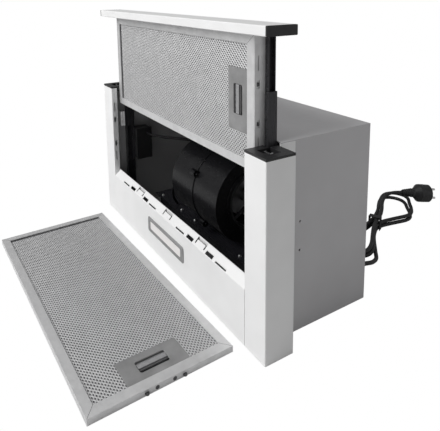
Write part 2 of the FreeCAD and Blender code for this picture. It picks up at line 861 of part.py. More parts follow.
# ---------------------------------------------------------------- lamp
def lamp():
    half_w, border = s.lamp_width / 2, s.lamp_border
    low, high = s.lamp_middle - s.lamp_height / 2, s.lamp_middle + s.lamp_height / 2
    proud, t = s.lamp_proud, s.panel_sheet
    rim = block("lamp_rim", (-half_w, half_w), (-proud, 0), (low, high))
    skirt = block(
        "lamp_skirt", (border + 0.3 - half_w, half_w - border - 0.3), (0, t + 4),
        (low + border / 2 + 0.3, high - border / 2 - 0.3),
    )
    view = block(
        "lamp_view", (border + 1.8 - half_w, half_w - border - 1.8), (-2 * proud, t + 5),
        (low + border / 2 + 1.8, high - border / 2 - 1.8),
    )
    seat = block(
        "lamp_seat", (border + 0.8 - half_w, half_w - border - 0.8), (-2 * proud, s.lens_thick - proud),
        (low + border / 2 + 0.8, high - border / 2 - 0.8),
    )
    node("lamp_frame", cut("lamp_frame", fuse("lamp_frame_body", rim, skirt), view, seat))
    node("lamp_lens", block(
        "lamp_lens", (border + 1 - half_w, half_w - border - 1), (0.4 - proud, s.lens_thick - proud),
        (low + border / 2 + 1, high - border / 2 - 1),
    ))
    back = t + s.lamp_box_depth
    shell = block("lamp_shell", (-half_w, half_w), (t, back), (low, high))
    w = s.lamp_shell
    room = block("lamp_room", (w - half_w, half_w - w), (0, back - w), (low + w, high - w))
    node("lamp_housing", cut("lamp_housing", shell, room))
    sockets = [
        block(
            f"lamp_socket_{hand(side)}", pair(side, half_w - w - s.socket_length, half_w - w),
            (t + s.socket_front, back - w),
            (s.lamp_middle - s.socket_width / 2, s.lamp_middle + s.socket_width / 2),
        )
        for side in (-1, 1)
    ]
    node("lamp_sockets", group("lamp_sockets", *sockets))
    node("lamp_tube", rod(
        "lamp_tube", "X", (w + s.socket_length - half_w, t + s.tube_behind, s.lamp_middle),
        s.tube_radius, s.lamp_width - 2 * (w + s.socket_length),
    ))


# ---------------------------------------------------------------- blower
def scroll_face(grow):
    """The casing's section, offset outward by grow, as a face in the YZ plane."""
    ay, az = float(s.axis_y), float(s.axis_z)
    big, small = float(s.scroll_radius) + grow, float(s.scroll_return) + grow
    back = float(s.box_back - s.box_sheet)
    low_y, low_z = ay, az - big
    small_z = low_z + small
    sill = float(s.duct_sill) - grow
    nose_y = ay + math.sqrt(small**2 - (sill - small_z) ** 2)
    at = lambda y, z: V(0, y, z)
    mid = math.atan2(sill - small_z, nose_y - ay) / 2 - math.pi / 4
    edges = [
        Part.LineSegment(at(back, az + big), at(ay, az + big)).toShape(),
        Part.Arc(at(ay, az + big), at(ay - big, az), at(ay, low_z)).toShape(),
        Part.Arc(
            at(ay, low_z), at(ay + small * math.cos(mid), small_z + small * math.sin(mid)),
            at(nose_y, sill),
        ).toShape(),
        Part.LineSegment(at(nose_y, sill), at(back, sill)).toShape(),
        Part.LineSegment(at(back, sill), at(back, az + big)).toShape(),
    ]
    return Part.Face(Part.Wire(edges))


def tube_shape(axis, start, outer, inner, length):
    ring = Part.makeCylinder(outer, length, start, axis)
    return ring.cut(Part.makeCylinder(inner, length + 2, start - axis, axis)) if inner else ring


def lug_places():
    """Where the casing screws sit: three angles round the section, just outside its wall."""
    ay, az, reach = float(s.axis_y), float(s.axis_z), float(s.scroll_radius + s.lug_radius * 0.62)
    return [
        (ay + reach * math.cos(math.radians(a)), az + reach * math.sin(math.radians(a)))
        for a in (152, 228, 300)
    ]


def scroll_half(side):
    """One half of the black volute: curved wall, end wall with its bellmouth, lugs and feet."""
    wall, half = float(s.scroll_wall), float(s.scroll_half)
    seam = float(s.seam_x)
    outer = scroll_face(0).extrude(V(side * half, 0, 0))
    inner = scroll_face(-wall).extrude(V(side * (half - wall), 0, 0))
    duct_back = Part.makeBox(
        half - wall, 2 * wall, float(s.axis_z + s.scroll_radius - s.duct_sill) - 2 * wall,
        V(0, float(s.box_back - s.box_sheet) - wall, float(s.duct_sill) + wall),
    )
    if side < 0:
        duct_back.translate(V(wall - half, 0, 0))
    bead = scroll_face(1.4).extrude(V(side * 2.0, 0, 0))
    bead_trim = Part.makeBox(400, 100, 600, V(-200, float(s.box_back - s.box_sheet) - 4, -200))
    shape = outer.fuse(bead.cut(bead_trim))
    centre = V(0, float(s.axis_y), float(s.axis_z))
    mouth = float(s.inlet_radius)
    for y, z in lug_places():
        lug = Part.makeCylinder(float(s.lug_radius), float(s.lug_half), V(0, y, z), V(side, 0, 0))
        shape = shape.fuse(lug)
    shape = shape.cut(inner).cut(duct_back)
    end = V(side * half, centre.y, centre.z)
    shape = shape.fuse(tube_shape(V(side, 0, 0), end - V(side * wall, 0, 0), mouth + 6, mouth, wall + 2.5))
    shape = shape.cut(Part.makeCylinder(mouth, 2 * wall + 4, end - V(side * 2 * wall, 0, 0), V(side, 0, 0)))
    for y, z in lug_places():
        shape = shape.cut(Part.makeCylinder(
            float(s.screw_radius) + 0.1, 2 * float(s.lug_half) + 2, V(-side, y, z), V(side, 0, 0),
        ))
    shape = shape.fuse(scroll_feet(side))
    shape.translate(V(seam, 0, 0))
    name = f"scroll_{hand(side)}"
    node(name, solid(name, shape.removeSplitter()))


def scroll_feet(side):
    """Two feet under one half of the casing, standing on the mounting plate."""
    top = float(s.axis_z - s.scroll_radius)
    low, wall = float(shelf_top), float(s.scroll_wall)
    feet = []
    for y in (float(s.axis_y) - 18, float(s.axis_y) + 18):
        drop = float(s.scroll_radius) - math.sqrt(float(s.scroll_radius) ** 2 - 26**2)
        foot = Part.makeBox(14, 8, top + drop + wall / 2 - low, V(0, y - 4, low))
        foot.translate(V(side * (float(s.scroll_half) - 22) - 7, 0, 0))
        feet.append(foot)
    body = Part.makeCylinder(
        float(s.scroll_radius) - 1, 2 * float(s.scroll_half),
        V(-float(s.scroll_half), float(s.axis_y), float(s.axis_z)), X,
    )
    return Part.makeCompound([foot.cut(body) for foot in feet])


def lug_screws():
    """Screws through the casing lugs, heads on the left."""
    made = []
    for y, z in lug_places():
        start = V(float(s.seam_x - s.lug_half), y, z)
        stem = Part.makeCylinder(float(s.screw_radius), 2 * float(s.lug_half), start, X)
        head = Part.makeCylinder(float(s.screw_head), 1.8, start - V(1.8, 0, 0), X)
        made.append(stem.fuse(head))
    return made


def blade_face():
    """A forward-curved blade: two arcs between the wheel's inner and outer radius."""
    outer = float(s.wheel_radius) - 0.6
    inner, stock = outer - float(s.blade_depth) + 0.6, float(s.blade_stock)
    bow = 0.28 * (outer - inner)
    lean = math.radians(9)
    tip = V(0, outer * math.cos(lean), outer * math.sin(lean))
    heel = V(0, inner, 0)
    middle = (tip + heel) * 0.5
    chord = tip - heel
    side = V(0, chord.z, -chord.y)
    side.normalize()
    arc = lambda a, m, b: Part.Arc(a, m, b).toShape()
    step = side * stock
    edges = [
        arc(heel, middle + side * bow, tip),
        Part.LineSegment(tip, tip + step).toShape(),
        arc(tip + step, middle + side * (bow + stock), heel + step),
        Part.LineSegment(heel + step, heel).toShape(),
    ]
    return Part.Face(Part.Wire(edges))


def impeller():
    """Double-inlet wheel: a centre disc and hub with a row of curved blades on each side."""
    disc, rim, row = float(s.wheel_disc), float(s.wheel_rim), float(s.wheel_row)
    outer = float(s.wheel_radius)
    shape = Part.makeCylinder(outer, disc, V(-disc / 2, 0, 0), X)
    shape = shape.fuse(Part.makeCylinder(float(s.hub_radius), 8, V(-6 - disc / 2, 0, 0), X))
    blades = []
    for side in (-1, 1):
        face = blade_face()
        one = face.extrude(V(side * (row + disc / 2), 0, 0))
        for i in range(BLADES):
            turned = one.copy()
            turned.rotate(V(), X, 360 * i / BLADES)
            blades.append(turned)
        start = V(side * (row + disc / 2), 0, 0)
        blades.append(tube_shape(
            V(-side, 0, 0), start, outer, outer - float(s.blade_depth), rim,
        ))
    shape = shape.multiFuse(blades)
    bore = float(s.shaft_radius) + 0.02
    shape = shape.cut(Part.makeCylinder(bore, 40, V(-20, 0, 0), X))
    shape.translate(V(float(s.seam_x), float(s.axis_y), float(s.axis_z)))
    node("impeller", solid("impeller", shape))


def motor():
    """Motor inside the right-hand blade row, its shaft, and the three-armed spider."""
    seam, ay, az = s.seam_x, s.axis_y, s.axis_z
    near = seam + s.wheel_disc / 2 + 2
    far = near + s.motor_length
    can = rod("motor_can", "X", (near, ay, az), s.motor_radius, s.motor_length)
    bore = rod("motor_bore", "X", (near - 1, ay, az), s.shaft_radius + s.shaft_play, s.motor_length + 2)
    neck = rod("motor_neck", "X", (far, ay, az), s.hub_radius, seam + s.scroll_half - far - 2)
    neck_bore = rod("motor_neck_bore", "X", (far - 1, ay, az), s.shaft_radius + s.shaft_play, 60)
    node("motor", cut("motor", fuse("motor_body", can, neck), bore, neck_bore))
    shaft_start = seam - s.wheel_disc / 2 - 8
    node("motor_shaft", rod(
        "motor_shaft", "X", (shaft_start, ay, az), s.shaft_radius, seam + s.scroll_half - 8 - shaft_start,
    ))
    for side in (-1, 1):
        name = "motor_spider" if side > 0 else "inlet_guard"
        node(name, solid(name, spider(side)))


def spider(side):
    """Ring in an inlet with arms to a central boss."""
    mouth = float(s.inlet_radius) - 0.3
    deep = float(s.scroll_wall) + 2
    start = V(float(s.seam_x) + side * (float(s.scroll_half) - 2), float(s.axis_y), float(s.axis_z))
    way = V(side, 0, 0)
    shape = tube_shape(way, start, mouth, mouth - 4, deep)
    boss = float(s.hub_radius) + 3
    shape = shape.fuse(Part.makeCylinder(boss, deep, start, way))
    for i in range(SPIDER_ARMS):
        arm = Part.makeBox(deep, mouth - 2, 6, V(0, 0, -3))
        arm.rotate(V(), X, 90 + 360 * i / SPIDER_ARMS)
        arm.translate(start + (V(-deep, 0, 0) if side < 0 else V()))
        shape = shape.fuse(arm)
    return shape.removeSplitter()


def mounting_plate():
    """Folded plate that carries the blower, and the screws of plate and casing."""
    back = s.box_back - s.box_sheet
    left, right = -s.plate_left, s.plate_right
    plate = block("plate_top", (left, right), (s.plate_front, back), (s.plate_height, shelf_top))
    front_leg = block(
        "plate_leg", (left, right), (s.plate_front + 12, s.plate_front + 12 + s.plate_sheet),
        (s.box_sheet, s.plate_height),
    )
    node("blower_plate", fuse("blower_plate", plate, front_leg))
    screws = []
    for distance in (s.plate_screw_1, s.plate_screw_2, s.plate_screw_3, s.plate_screw_4):
        head = Part.makeSphere(float(s.plate_screw_radius), V(), Z, 0, 90, 360)
        head.translate(V(
            float(left + distance), float(s.plate_front + s.plate_screw_inset), float(shelf_top),
        ))
        screws.append(head)
    node("blower_screws", solid("blower_screws", Part.makeCompound(screws + lug_screws())))


# ---------------------------------------------------------------- outlet
def outlet():
    """Round spigot on the back with a pair of non-return flaps on one upright pin."""
    face, radius, wall = s.box_back, s.outlet_radius, s.outlet_wall
    x, z = s.seam_x, outlet_z
    flange = rod("outlet_flange_disc", "Y", (x, face, z), radius + s.outlet_flange, 2)
    tube = rod("outlet_tube", "Y", (x, face, z), radius, s.outlet_length)
    bore = rod("outlet_bore", "Y", (x, face - 1, z), radius - wall, s.outlet_length + 2)
    stop = rod("outlet_stop", "Y", (x, face + s.flap_setback - 3, z), radius - wall, 2)
    stop_bore = rod("outlet_stop_bore", "Y", (x, face, z), radius - wall - 3, s.outlet_length)
    ring = fuse("outlet_ring", cut("outlet_shell", fuse("outlet_outer", flange, tube), bore),
                cut("outlet_seat", stop, stop_bore))
    pin_y = face + s.flap_setback
    pin = rod("outlet_pin", "Z", (x, pin_y, z - radius + wall / 2), s.flap_pin, 2 * radius - wall)
    node("outlet_collar", fuse("outlet_collar", ring, pin))
    for side in (-1, 1):
        name = f"flap_{hand(side)}"
        reach = float(radius - wall - s.flap_gap)
        sheet_half, edge = float(s.flap_sheet) / 2, 3.5
        disc = Part.makeCylinder(reach, 2 * sheet_half, V(0, -sheet_half, 0), Y)
        keep = Part.makeBox(reach, 10, 2 * reach, V(edge if side > 0 else -edge - reach, -5, -reach))
        sleeve_high, play = 20.0, float(s.flap_pin) + 0.08
        sleeve = Part.makeCylinder(play + 1, sleeve_high, V(), Z)
        sleeve.translate(V(0, 0, 6 if side > 0 else -6 - sleeve_high))
        web = Part.makeBox(
            edge, 2 * sheet_half, sleeve_high, V(0 if side > 0 else -edge, -sheet_half, 0),
        )
        web.translate(V(0, 0, 6 if side > 0 else -6 - sleeve_high))
        leaf = disc.common(keep).fuse(sleeve).fuse(web)
        leaf = leaf.cut(Part.makeCylinder(play, 4 * reach, V(0, 0, -2 * reach), Z))
        leaf.translate(V(float(x), float(pin_y), float(z)))
        node(name, solid(name, leaf))


# ---------------------------------------------------------------- electrics
def biarc(p0, t0, p1, t1):
    """Two tangent arcs from p0 to p1 with the end directions t0 and t1."""
    span = p1 - p0
    both = t0 + t1
    a = 2 * (1 - t0.dot(t1))
    b = 2 * span.dot(both)
    c = -span.dot(span)
    d = -c / b if abs(a) < 1e-9 else (-b + math.sqrt(b * b - 4 * a * c)) / (2 * a)
    joint = (p0 + t0 * d + p1 - t1 * d) * 0.5
    return [curve(p0, t0, joint), curve(joint, (p1 - t1 * d - joint).normalize(), p1)]


def curve(start, way, end):
    """The arc that leaves start along way and reaches end, or a line if it is straight."""
    chord = end - start
    across = chord - way * chord.dot(way)
    if across.Length < 1e-7 * max(1.0, chord.Length):
        return Part.LineSegment(start, end).toShape()
    across.normalize()
    radius = chord.dot(chord) / (2 * chord.dot(across))
    centre = start + across * radius
    middle = (start + end) * 0.5 - centre
    middle.normalize()
    return Part.Arc(start, centre + middle * radius, end).toShape()


def bent_wire(points):
    """Straight runs joined by the largest tangent arcs that the runs allow, and their radii."""
    edges, radii, spot = [], [], points[0]
    for before, corner, after in zip(points, points[1:], points[2:]):
        a, b = corner - before, after - corner
        turn = a.getAngle(b)
        run = 0.45 * min(a.Length, b.Length)
        radii.append(run / math.tan(turn / 2))
        a.normalize()
        b.normalize()
        start, end = corner - a * run, corner + b * run
        inward = b - a
        inward.normalize()
        depth = radii[-1] / math.cos(turn / 2) - radii[-1]
        edges.append(Part.LineSegment(spot, start).toShape())
        edges.append(Part.Arc(start, corner + inward * depth, end).toShape())
        spot = end
    edges.append(Part.LineSegment(spot, points[-1]).toShape())
    return Part.Wire(edges), radii


def tube(wire, radius):
    """A round tube along a wire."""
    start = wire.Edges[0].valueAt(wire.Edges[0].FirstParameter)
    way = wire.Edges[0].tangentAt(wire.Edges[0].FirstParameter)
    circle = Part.Wire(Part.Circle(start, way, radius).toShape())
    return wire.makePipeShell([circle], True, False)


def lead_tube(name, points, radius):
    """A cord's free stretch; prints its arcs' least radius and checks its volume."""
    wire, radii = bent_wire(points)
    shape = tube(wire, radius)
    expected = math.pi * radius**2 * wire.Length
    print(f"{name}: length {wire.Length:.1f}, radii", [round(r, 1) for r in radii],
          f"volume ratio {shape.Volume / expected:.4f}")
    node(name, solid(name, shape))
    return wire.Length


TIE_SPOT = V(121.0, 424.0, 0)
HANK_TURNED = 112.5
HANK_FAR, HANK_NEAR = 162.0, 140.0
HANK_FAR_WIDTH, HANK_NEAR_WIDTH = 26.0, 31.0
HANK_BELLY = 38.0
HANK_SETTLE = 3.0
HANK_NECK = float(s.cord_radius) + 1.05
HANK_RISE = 2 * float(s.cord_radius) + float(s.hank_gap)
HANK_START, HANK_END = math.pi + 0.9, math.pi * (1.5 + 2 * HANK_TURNS)
HANK_STEPS = 24
FLOOR_GAP = 0.4
PLUG_NOD, PLUG_ROLL = 8.0, 65.0


def hank_point(angle):
    """The hank's centre line: loops on both sides of the tie, drawn together at it."""
    turns = (angle - HANK_START) / (2 * math.pi)
    c, across = math.cos(angle), math.sin(angle)
    reach, width = (HANK_FAR, HANK_FAR_WIDTH) if c > 0 else (HANK_NEAR, HANK_NEAR_WIDTH)
    u = reach * (1 + 0.06 * turns) * c
    v = across * (HANK_NECK + width * c * c / 0.385)
    settle = 0.0
    if c > 0:
        settle = HANK_SETTLE * c * c
        if across < 0:
            v += HANK_BELLY * across**9 * c * c / 0.0737
    lean = math.radians(HANK_TURNED - 2.1 * (turns - 1) * c * c - (c * c if c < 0 else 0))
    x = u * math.cos(lean) - v * math.sin(lean)
    y = u * math.sin(lean) + v * math.cos(lean)
    return TIE_SPOT + V(x, y, float(s.cord_radius) + FLOOR_GAP + HANK_RISE * turns - settle)


def hank():
    """The tied hank: one unbroken tube through its loops, and the tie round its middle."""
    count = round(HANK_STEPS * (HANK_END - HANK_START) / (2 * math.pi))
    angles = [HANK_START + (HANK_END - HANK_START) * i / count for i in range(count + 1)]
    points = [hank_point(a) for a in angles]
    small = 1e-4
    ways = [(hank_point(a + small) - hank_point(a - small)).normalize() for a in angles]
    edges = []
    for i in range(count):
        edges += biarc(points[i], ways[i], points[i + 1], ways[i + 1])
    wire = Part.Wire(edges)
    radius = float(s.cord_radius)
    shape = tube(wire, radius)
    node("cord_hank", solid("cord_hank", shape))
    bends = [e.Curve.Radius for e in wire.Edges if e.Curve.TypeId == "Part::GeomCircle"]
    dense = wire.discretize(700)
    step = wire.Length / 699
    skip = int(3.2 * radius / step) + 2
    gap = min(
        (a - b).Length for i, a in enumerate(dense) for b in dense[i + skip:]
    ) - 2 * radius
    print(f"cord_hank: length {wire.Length:.1f}, least bend {min(bends):.1f}, least gap {gap:.2f}, "
          f"volume ratio {shape.Volume / (math.pi * radius**2 * wire.Length):.4f}")
    return points[0], ways[0], points[-1], ways[-1], wire.Length


def tie():
    """Flat strap round the middle of the hank."""
    radius, neck = float(s.cord_radius), HANK_NECK
    top = float(hank_point(HANK_END).z) + radius
    half = neck + radius + 2.2
    outer = Part.makeBox(12, 2 * half + 2.4, top + 1.6, V(-6, -half - 1.2, 0))
    inner = Part.makeBox(14, 2 * half, top + 0.4 - 0.1, V(-7, -half, -0.1))
    strap = outer.cut(inner)
    strap.rotate(V(), Z, HANK_TURNED)
    strap.translate(TIE_SPOT)
    node("cord_tie", solid("cord_tie", strap))


def mains_lead():
    """Gland, free stretch, hank, plug lead and plug, all on the floor behind the box."""
    x, z, face = float(s.gland_x), float(s.gland_z), float(s.box_back)
    radius = float(s.cord_radius)
    flange = Part.makeCylinder(float(s.gland_flange), 3, V(x, face, z), Y)
    boot = Part.makeCone(
        float(s.gland_flange) - 3, radius + 1.2, float(s.gland_reach) - 3, V(x, face + 3, z), Y,
    )
    neck = Part.makeCylinder(radius + 1.9, 6, V(x, face - 6, z), Y)
    bore = Part.makeCylinder(radius, float(s.gland_reach) + 20, V(x, face - 10, z), Y)
    gland = flange.fuse(boot).fuse(neck).cut(bore)
    node("cord_gland", solid("cord_gland", gland))
    start, way, end, end_way, hank_length = hank()
    tie()
    exit_y = face + float(s.gland_reach)
    route = [
        V(x, exit_y, z), V(x, exit_y + 20, z - 1), V(x - 1.5, exit_y + 38.5, z - 6.5),
        V(x - 9, exit_y + 56, z - 13.5), V(x - 17, exit_y + 73.5, radius + FLOOR_GAP + 0.65),
    ]
    route += [start - way * 16, start]
    first = lead_tube("power_cord", route, radius)
    nod = math.radians(PLUG_NOD)
    level = V(0.33, 0.944, 0).normalize()
    plug_way = level * math.cos(nod) - Z * math.sin(nod)
    rise = float(s.plug_radius) * math.cos(nod) + FLOOR_GAP + float(s.plug_length) * math.sin(nod)
    plug_at = V(87.5, 593.0, rise)
    back_end = plug_at - plug_way * 30
    lead = [
        end, end + end_way * 22, V(102.5, 467.7, 24.8), V(85.1, 488.4, 28.2),
        V(72.4, 512.6, 31.6), back_end - plug_way * 26, back_end,
    ]
    last = lead_tube("plug_lead", lead, radius)
    plug(plug_at, plug_way, back_end)
    print(f"whole lead: {first + hank_length + last:.0f} mm")


def plug(spot, way, back_end):
    """Moulded two-pin plug with a tapered boot, drawn along X and then laid on the floor."""
    big, length, radius = float(s.plug_radius), float(s.plug_length), float(s.cord_radius)
    boot = Part.makeCone(radius + 1.5, 10, 30, V(-30, 0, 0), X)
    waist = Part.makeCone(10, big - 1, 12, V(0, 0, 0), X)
    body = Part.makeCylinder(big, length - 14, V(12, 0, 0), X)
    face = Part.makeCone(big, big - 2, 2, V(length - 2, 0, 0), X)
    shape = boot.fuse(waist).fuse(body).fuse(face)
    for way_out in (-1, 1):
        groove = Part.makeBox(22, 5, 4, V(length - 22, way_out * big - 2.5, -2))
        shape = shape.cut(groove)
    pin = float(s.pin_radius)
    holes = [
        Part.makeCylinder(pin, 10, V(length - 9, w * float(s.pin_pitch) / 2, 0), X) for w in (-1, 1)
    ]
    for hole in holes:
        shape = shape.cut(hole)
    pins = []
    for w in (-1, 1):
        at = V(length - 9, w * float(s.pin_pitch) / 2, 0)
        stem = Part.makeCylinder(pin, float(s.pin_length) + 9 - pin, at, X)
        tip = Part.makeSphere(pin, at + V(float(s.pin_length) + 9 - pin, 0, 0))
        pins.append(stem.fuse(tip))
    turn = FreeCAD.Rotation(X, way) * FreeCAD.Rotation(X, PLUG_ROLL)
    spot = back_end + way * 30
    seat = FreeCAD.Placement(spot, turn)
    node("plug_body", solid("plug_body", shape, seat))
    node("plug_pins", solid("plug_pins", Part.makeCompound(pins), seat))


def control_box():
    """Black box of electrics on the left wall, its lid and the wires to the blower."""
    wall = half_box - s.box_sheet
    left, right = -wall, s.control_depth - wall
    front, back = s.control_front, s.control_front + s.control_width
    low, high = s.control_bottom, s.control_bottom + s.control_height
    case = block("control_case", (left, right - 3), (front, back), (low, high))
    node("control_box", case)
    lid = block("control_lid_plate", (right - 3, right), (front - 1.5, back + 1.5), (low - 1.5, high + 1.5))
    node("control_lid", lid)
    near = float(right)
    end_wall = float(s.seam_x - s.scroll_half)
    span = end_wall - near
    start_y, start_z = float(s.control_front + s.wire_inset), float(s.control_bottom + s.wire_high)
    end_y, end_z = float(s.axis_y - s.wire_entry_front), float(s.axis_z + s.wire_entry_high)
    top_wire = [
        V(near + a * span, start_y + b * (end_y - start_y), start_z + c * (end_z - start_z))
        for a, b, c in (
            (0, 0, 0), (0.15, 0, 0), (0.38, 0.34, 0.1), (0.64, 0.78, 0.62), (0.85, 1, 1), (1, 1, 1),
        )
    ]
    wire_one, radii_one = bent_wire(top_wire)
    out, drop = float(s.wire_loop_out), float(s.axis_z - s.wire_loop_drop - shelf_top - s.wire_radius)
    loop_y, loop_back = float(s.axis_y - s.wire_loop_front), float(s.wire_loop_back)
    loop_z = float(s.axis_z - s.wire_loop_drop)
    low_wire = [
        V(end_wall - a * out, loop_y + b * loop_back, loop_z - c * drop)
        for a, b, c in (
            (0, 0, 0), (0.36, 0, 0), (0.73, 0.1, 0.3), (0.9, 0.37, 0.68), (1, 1, 0.985),
        )
    ]
    wire_two, radii_two = bent_wire(low_wire)
    print("wires: least radius", round(min(radii_one + radii_two), 1))
    radius = float(s.wire_radius)
    node("wiring", solid("wiring", Part.makeCompound([tube(wire_one, radius), tube(wire_two, radius)])))


def build():
    motor_box()
    cases, brackets = [], []
    for side in (-1, 1):
        post(side)
        cases.append(switch(side, *cap(side)))
        brackets += slide(side)
    node("switches", group("switches", *cases))
    node("slide_brackets", group("slide_brackets", *brackets))
    front_panel()
    guides()
    drawer()
    front_bar()
    filters()
    lamp()
    for side in (-1, 1):
        scroll_half(side)
    impeller()
    motor()
    mounting_plate()
    outlet()
    control_box()
    mains_lead()


def check_and_write():
    doc.recompute()
    bad = [o.Name for o in doc.Objects if "Invalid" in o.State or "Error" in o.State]
    if bad:
        raise RuntimeError(f"objects left invalid: {bad}")
    os.makedirs("parts", exist_ok=True)
    for name, obj in nodes:
        shape = obj.Shape
        if shape.isNull() or not shape.isValid() or not shape.Solids:
            raise RuntimeError(f"{name} has no valid solid")
        shape.exportStep(f"parts/{name}.step")
    print(len(nodes), "nodes written")


build()
check_and_write()
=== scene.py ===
"""A 60 cm slide-out cooker hood stood on its wall side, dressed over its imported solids."""
import json
import math

import bpy
from mathutils import Matrix, Vector


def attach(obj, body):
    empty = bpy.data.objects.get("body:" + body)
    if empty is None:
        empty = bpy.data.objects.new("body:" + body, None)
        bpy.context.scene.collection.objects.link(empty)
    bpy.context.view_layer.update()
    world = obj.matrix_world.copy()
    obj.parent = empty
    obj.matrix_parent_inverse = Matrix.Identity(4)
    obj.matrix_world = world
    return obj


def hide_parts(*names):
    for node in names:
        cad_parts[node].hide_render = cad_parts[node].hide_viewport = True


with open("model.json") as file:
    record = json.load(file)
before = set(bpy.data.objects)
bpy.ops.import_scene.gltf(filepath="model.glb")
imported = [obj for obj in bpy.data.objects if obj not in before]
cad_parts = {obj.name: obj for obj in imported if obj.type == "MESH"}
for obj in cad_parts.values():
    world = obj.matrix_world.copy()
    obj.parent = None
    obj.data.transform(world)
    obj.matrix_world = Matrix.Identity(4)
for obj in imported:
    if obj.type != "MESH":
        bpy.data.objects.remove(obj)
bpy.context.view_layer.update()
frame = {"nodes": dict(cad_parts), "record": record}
nodes = frame["nodes"]
scene = bpy.context.scene
MM = 0.001


# ---------------------------------------------------------------- camera
CAMERA_PLACE = Vector((759.8, -354.9, 497.1))
CAMERA_YAW, CAMERA_PITCH, CAMERA_ROLL = -57.88, -9.0, -0.54
PHOTO_WIDTH, FOCAL_PIXELS = 440, 488.5
SENSOR_WIDTH, SHIFT_UP = 36.0, -0.339


def make_camera():
    """The photograph's viewpoint, in the row frame."""
    yaw, pitch, roll = (math.radians(turn) for turn in (CAMERA_YAW, CAMERA_PITCH, CAMERA_ROLL))
    forward = Vector((math.sin(yaw) * math.cos(pitch), math.cos(yaw) * math.cos(pitch), math.sin(pitch)))
    right = Vector((math.cos(yaw), -math.sin(yaw), 0))
    up = right.cross(forward)
    right, up = (
        right * math.cos(roll) + up * math.sin(roll),
        up * math.cos(roll) - right * math.sin(roll),
    )
    data = bpy.data.cameras.new("camera")
    data.sensor_fit = "HORIZONTAL"
    data.sensor_width = SENSOR_WIDTH
    data.lens = FOCAL_PIXELS / PHOTO_WIDTH * SENSOR_WIDTH
    data.shift_y = SHIFT_UP
    data.clip_end = 100
    camera = bpy.data.objects.new("camera", data)
    scene.collection.objects.link(camera)
    turn = Matrix((right, up, -forward)).transposed().to_4x4()
    camera.matrix_world = Matrix.Translation(CAMERA_PLACE * MM) @ turn
    scene.camera = camera


make_camera()


# ---------------------------------------------------------------- node helpers
class Shader:
    """Short ways to wire a procedural material."""

    def __init__(self, name):
        self.material = bpy.data.materials.new(name)
        self.material.use_nodes = True
        self.tree = self.material.node_tree
        self.bsdf = self.tree.nodes["Principled BSDF"]

    def node(self, kind, **values):
        made = self.tree.nodes.new(kind)
        for key, value in values.items():
            if hasattr(made, key):
                setattr(made, key, value)
            else:
                made.inputs[key.replace("_", " ")].default_value = value
        return made

    def link(self, source, target):
        self.tree.links.new(source, target)

    def set(self, **values):
        for key, value in values.items():
            self.bsdf.inputs[key.replace("_", " ")].default_value = value
        return self

    def place(self):
        """Coordinates in metres, in the row frame."""
        return self.node("ShaderNodeTexCoord").outputs["Object"]

    def stretched(self, scale):
        mapping = self.node("ShaderNodeMapping")
        mapping.inputs["Scale"].default_value = scale
        self.link(self.place(), mapping.inputs["Vector"])
        return mapping.outputs["Vector"]

    def noise(self, size, detail=3.0, vector=None):
        """Noise whose grains are about size millimetres."""
        made = self.node("ShaderNodeTexNoise")
        made.inputs["Scale"].default_value = 1000.0 / size if vector is None else 1.0
        made.inputs["Detail"].default_value = detail
        self.link(self.place() if vector is None else vector, made.inputs["Vector"])
        return made.outputs["Fac"]

    def ramp(self, source, stops):
        made = self.node("ShaderNodeValToRGB")
        ramp = made.color_ramp
        while len(ramp.elements) < len(stops):
            ramp.elements.new(0.5)
        for element, (at, colour) in zip(ramp.elements, stops):
            element.position = at
            element.color = (*colour, 1) if len(colour) == 3 else colour
        self.link(source, made.inputs["Fac"])
        return made.outputs["Color"]

    def bump(self, height, strength, distance, under=None):
        made = self.node("ShaderNodeBump")
        made.inputs["Strength"].default_value = strength
        made.inputs["Distance"].default_value = distance * MM
        self.link(height, made.inputs["Height"])
        if under is not None:
            self.link(under, made.inputs["Normal"])
        return made.outputs["Normal"]

    def soft_edges(self, radius):
        """Normals that round each edge a little, as folding and moulding leave it."""
        made = self.node("ShaderNodeBevel")
        made.samples = 6
        made.inputs["Radius"].default_value = radius * MM
        return made.outputs["Normal"]

    def two_tone(self, mask, base, other):
        """Base colour where the mask is 0, the other one where it is 1."""
        mix = self.node("ShaderNodeMix", data_type="RGBA")
        self.link(mask, mix.inputs["Factor"])
        self.link(base, mix.inputs[6])
        mix.inputs[7].default_value = (*other, 1)
        self.link(mix.outputs[2], self.bsdf.inputs["Base Color"])

    def gloss(self, source, low, high):
        """Roughness that drifts between two values."""
        self.link(self.ramp(source, [(0.3, grey(low)), (0.7, grey(high))]), self.bsdf.inputs["Roughness"])

    def math(self, operation, a, b=None, clamp=False):
        made = self.node("ShaderNodeMath", operation=operation, use_clamp=clamp)
        for socket, value in zip(made.inputs, (a, b)):
            if value is None:
                continue
            if isinstance(value, (int, float)):
                socket.default_value = value
            else:
                self.link(value, socket)
        return made.outputs[0]


def grey(value, tint=(0, 0, 0)):
    return tuple(value + t for t in tint)


def paint(name, shade, rough, peel=0.06, coat=0.0, tint=(0, 0, 0), vary=0.02):
    """Powder paint: a fine orange peel, faint clouding and a little uneven gloss."""
    m = Shader(name)
    clouds = m.noise(60, 2)
    low, high = grey(shade - vary, tint), grey(shade + vary, tint)
    m.link(m.ramp(clouds, [(0.3, low), (0.7, high)]), m.bsdf.inputs["Base Color"])
    fine = m.noise(1.1, 2)
    m.link(m.bump(fine, peel, 0.05, m.soft_edges(0.7)), m.bsdf.inputs["Normal"])
    m.gloss(m.noise(9, 4), rough - 0.05, rough + 0.05)
    m.set(Coat_Weight=coat, Coat_Roughness=0.2)
    return m.material


